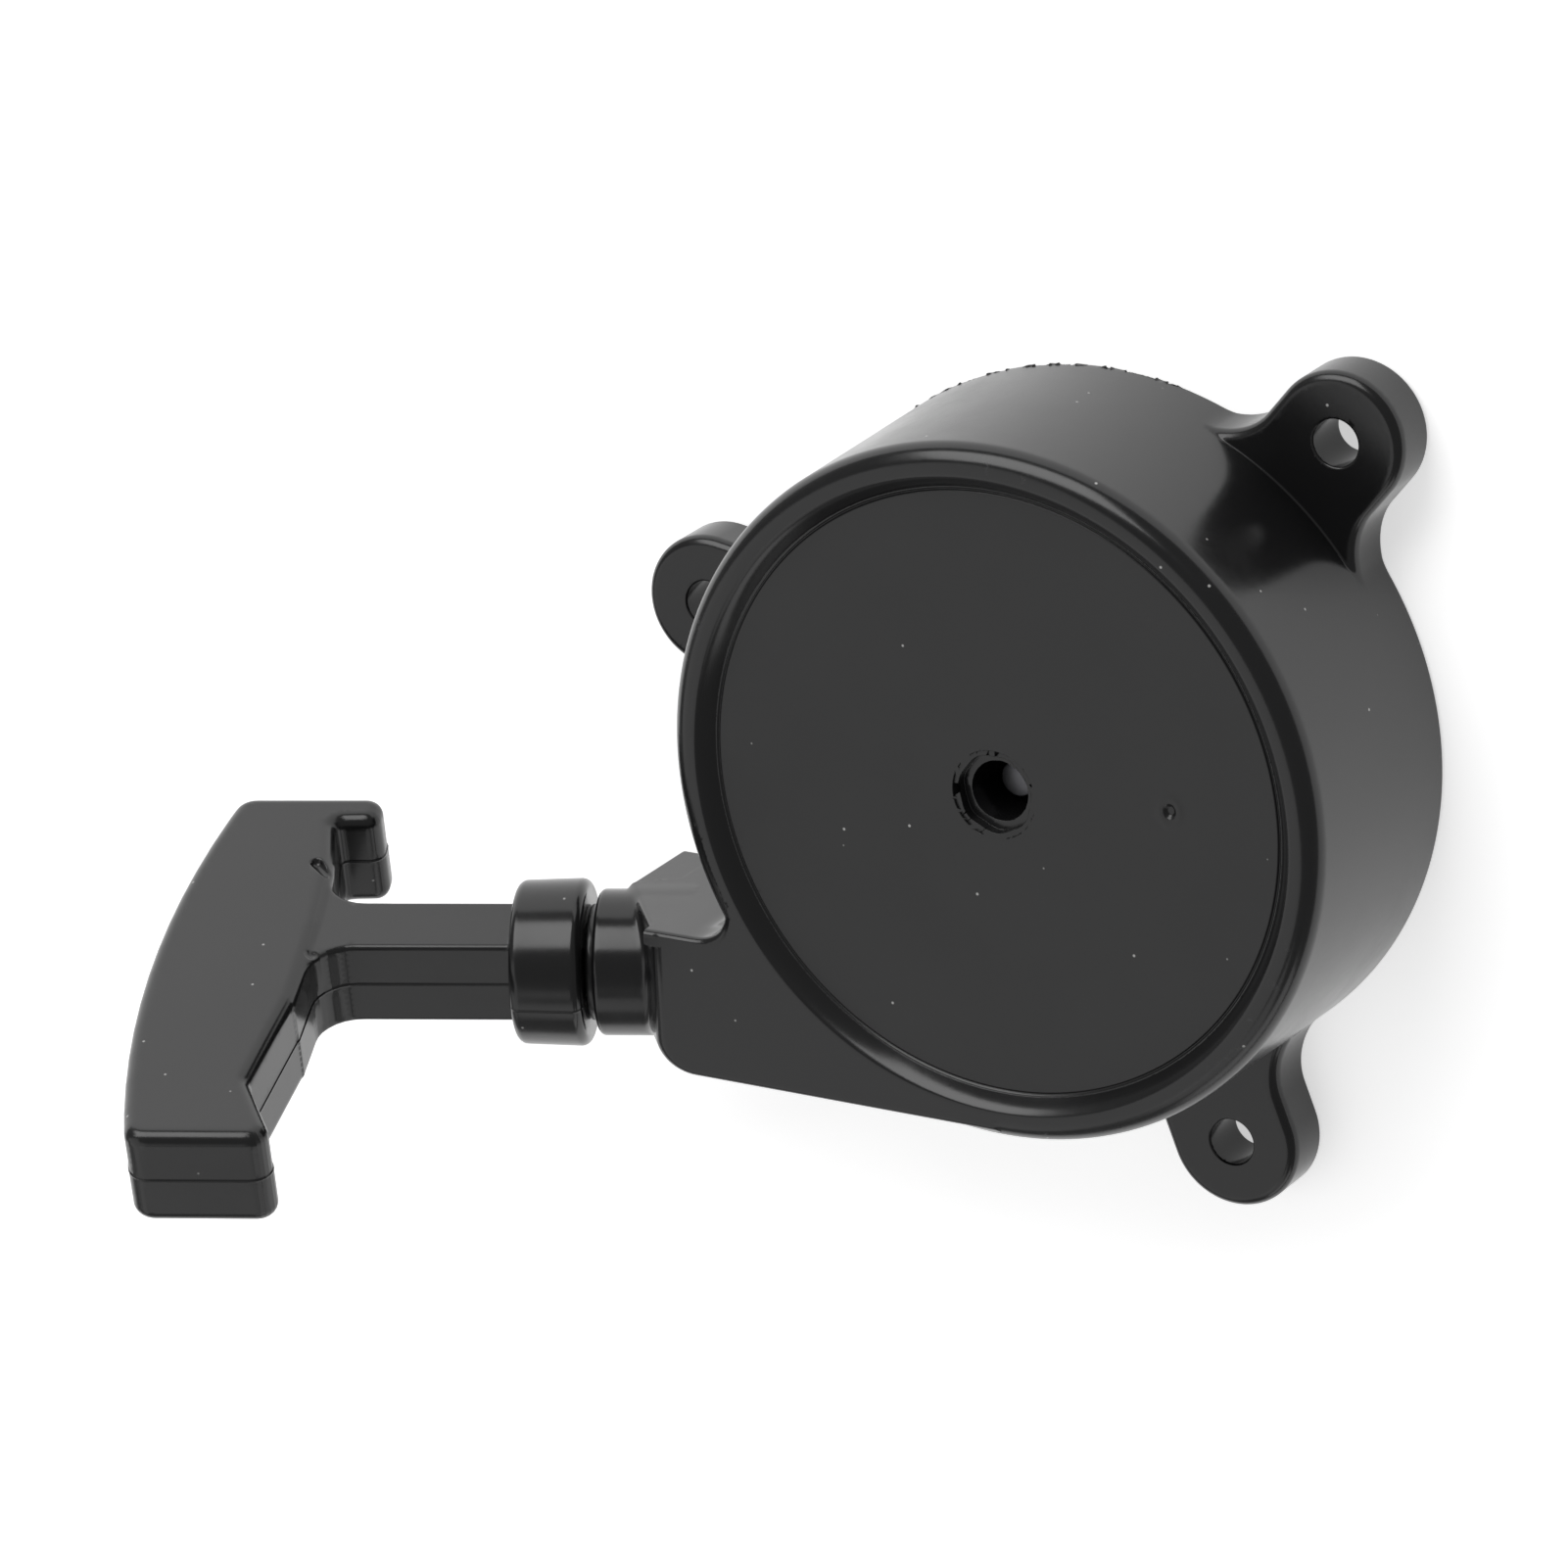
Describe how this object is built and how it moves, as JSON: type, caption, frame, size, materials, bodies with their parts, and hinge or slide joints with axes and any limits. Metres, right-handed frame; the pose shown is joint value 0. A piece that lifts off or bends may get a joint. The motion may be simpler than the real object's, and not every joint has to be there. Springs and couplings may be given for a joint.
{
  "type": "recoil starter",
  "caption": "Recoil starter in a round moulded cup with mounting ears, a side rope outlet and an offset T-shaped pull handle; rope reel, spiral spring and pawls inside.",
  "frame": {"origin": "centre of the screw-hole circle on the mounting plane, where the reel axis meets the open back of the cup", "axes": "+Z along the reel axis from the mounting plane towards the closed front, -X is the plan direction in which the rope leaves"},
  "size_m": [0.1781, 0.1201, 0.0922],
  "materials": {
    "housing_plastic": "satin black moulded nylon with fine moulding grain",
    "bush_plastic": "smooth black acetal",
    "reel_plastic": "dark grey glass-filled nylon",
    "grip_plastic": "semi-gloss black moulded plastic",
    "zinc_steel": "zinc plated",
    "dark_steel": "blackened",
    "hard_steel": "hardened, tumbled",
    "spring_steel": "blued, oiled",
    "bearing_brass": "turned",
    "rope_nylon": "braided nylon"
  },
  "bodies": {
    "root": {"housing": "housing_plastic", "rope_bush": "bush_plastic", "thrust_washer": "zinc_steel", "spring_case": "zinc_steel", "spring_case_screws": "zinc_steel", "recoil_spring": "spring_steel", "centre_screw": "dark_steel", "retaining_washer": "zinc_steel", "rope_run": "rope_nylon"},
    "reel_body": {"reel": "reel_plastic", "reel_bush": "bearing_brass", "rope_coil": "rope_nylon", "reel_knot": "rope_nylon", "pawl_pin_a": "dark_steel", "pawl_pin_b": "dark_steel", "pawl_spring_a": "spring_steel", "pawl_spring_b": "spring_steel"},
    "guide_body": {"guide_plate": "zinc_steel", "friction_spring": "spring_steel"},
    "pawl_a_body": {"pawl_a": "hard_steel"},
    "pawl_b_body": {"pawl_b": "hard_steel"},
    "rope_end": {"rope_lead": "rope_nylon", "handle_knot": "rope_nylon", "knot_washer": "zinc_steel"},
    "handle_body": {"handle": "grip_plastic"}
  },
  "joints": [
    {"name": "rope_pull", "type": "slide", "parent": "root", "child": "rope_end", "axis": [-0.9171, 0, 0.3987], "range_m": [0, 0.75], "stiffness_N_per_m": 10, "springref_m": -0.8},
    {"name": "handle_twist", "type": "hinge", "parent": "rope_end", "child": "handle_body", "pos_m": [-0.0677, -0.0376, 0.02485], "axis": [-0.9171, 0, 0.3987], "continuous": true},
    {"name": "reel_spin", "type": "hinge", "parent": "root", "child": "reel_body", "pos_m": [0, 0, 0.0133], "axis": [0, 0, -1], "range_deg": [0, 1303]},
    {"name": "guide_turn", "type": "hinge", "parent": "reel_body", "child": "guide_body", "pos_m": [0, 0, 0.0057], "axis": [0, 0, 1], "range_deg": [0, 30], "stiffness_Nm_per_rad": 0.002, "springref_deg": -11.46},
    {"name": "pawl_a_swing", "type": "hinge", "parent": "reel_body", "child": "pawl_a_body", "pos_m": [0.015, 0, 0.0082], "axis": [0, 0, 1], "range_deg": [0, 30]},
    {"name": "pawl_b_swing", "type": "hinge", "parent": "reel_body", "child": "pawl_b_body", "pos_m": [-0.015, 0, 0.0082], "axis": [0, 0, 1], "range_deg": [0, 30]}
  ],
  "couplings": [
    {"joint": "reel_spin", "follows": "rope_pull", "rad_per_m": 30.303},
    {"joint": "pawl_a_swing", "follows": "guide_turn", "ratio": 1},
    {"joint": "pawl_b_swing", "follows": "guide_turn", "ratio": 1}
  ]
}
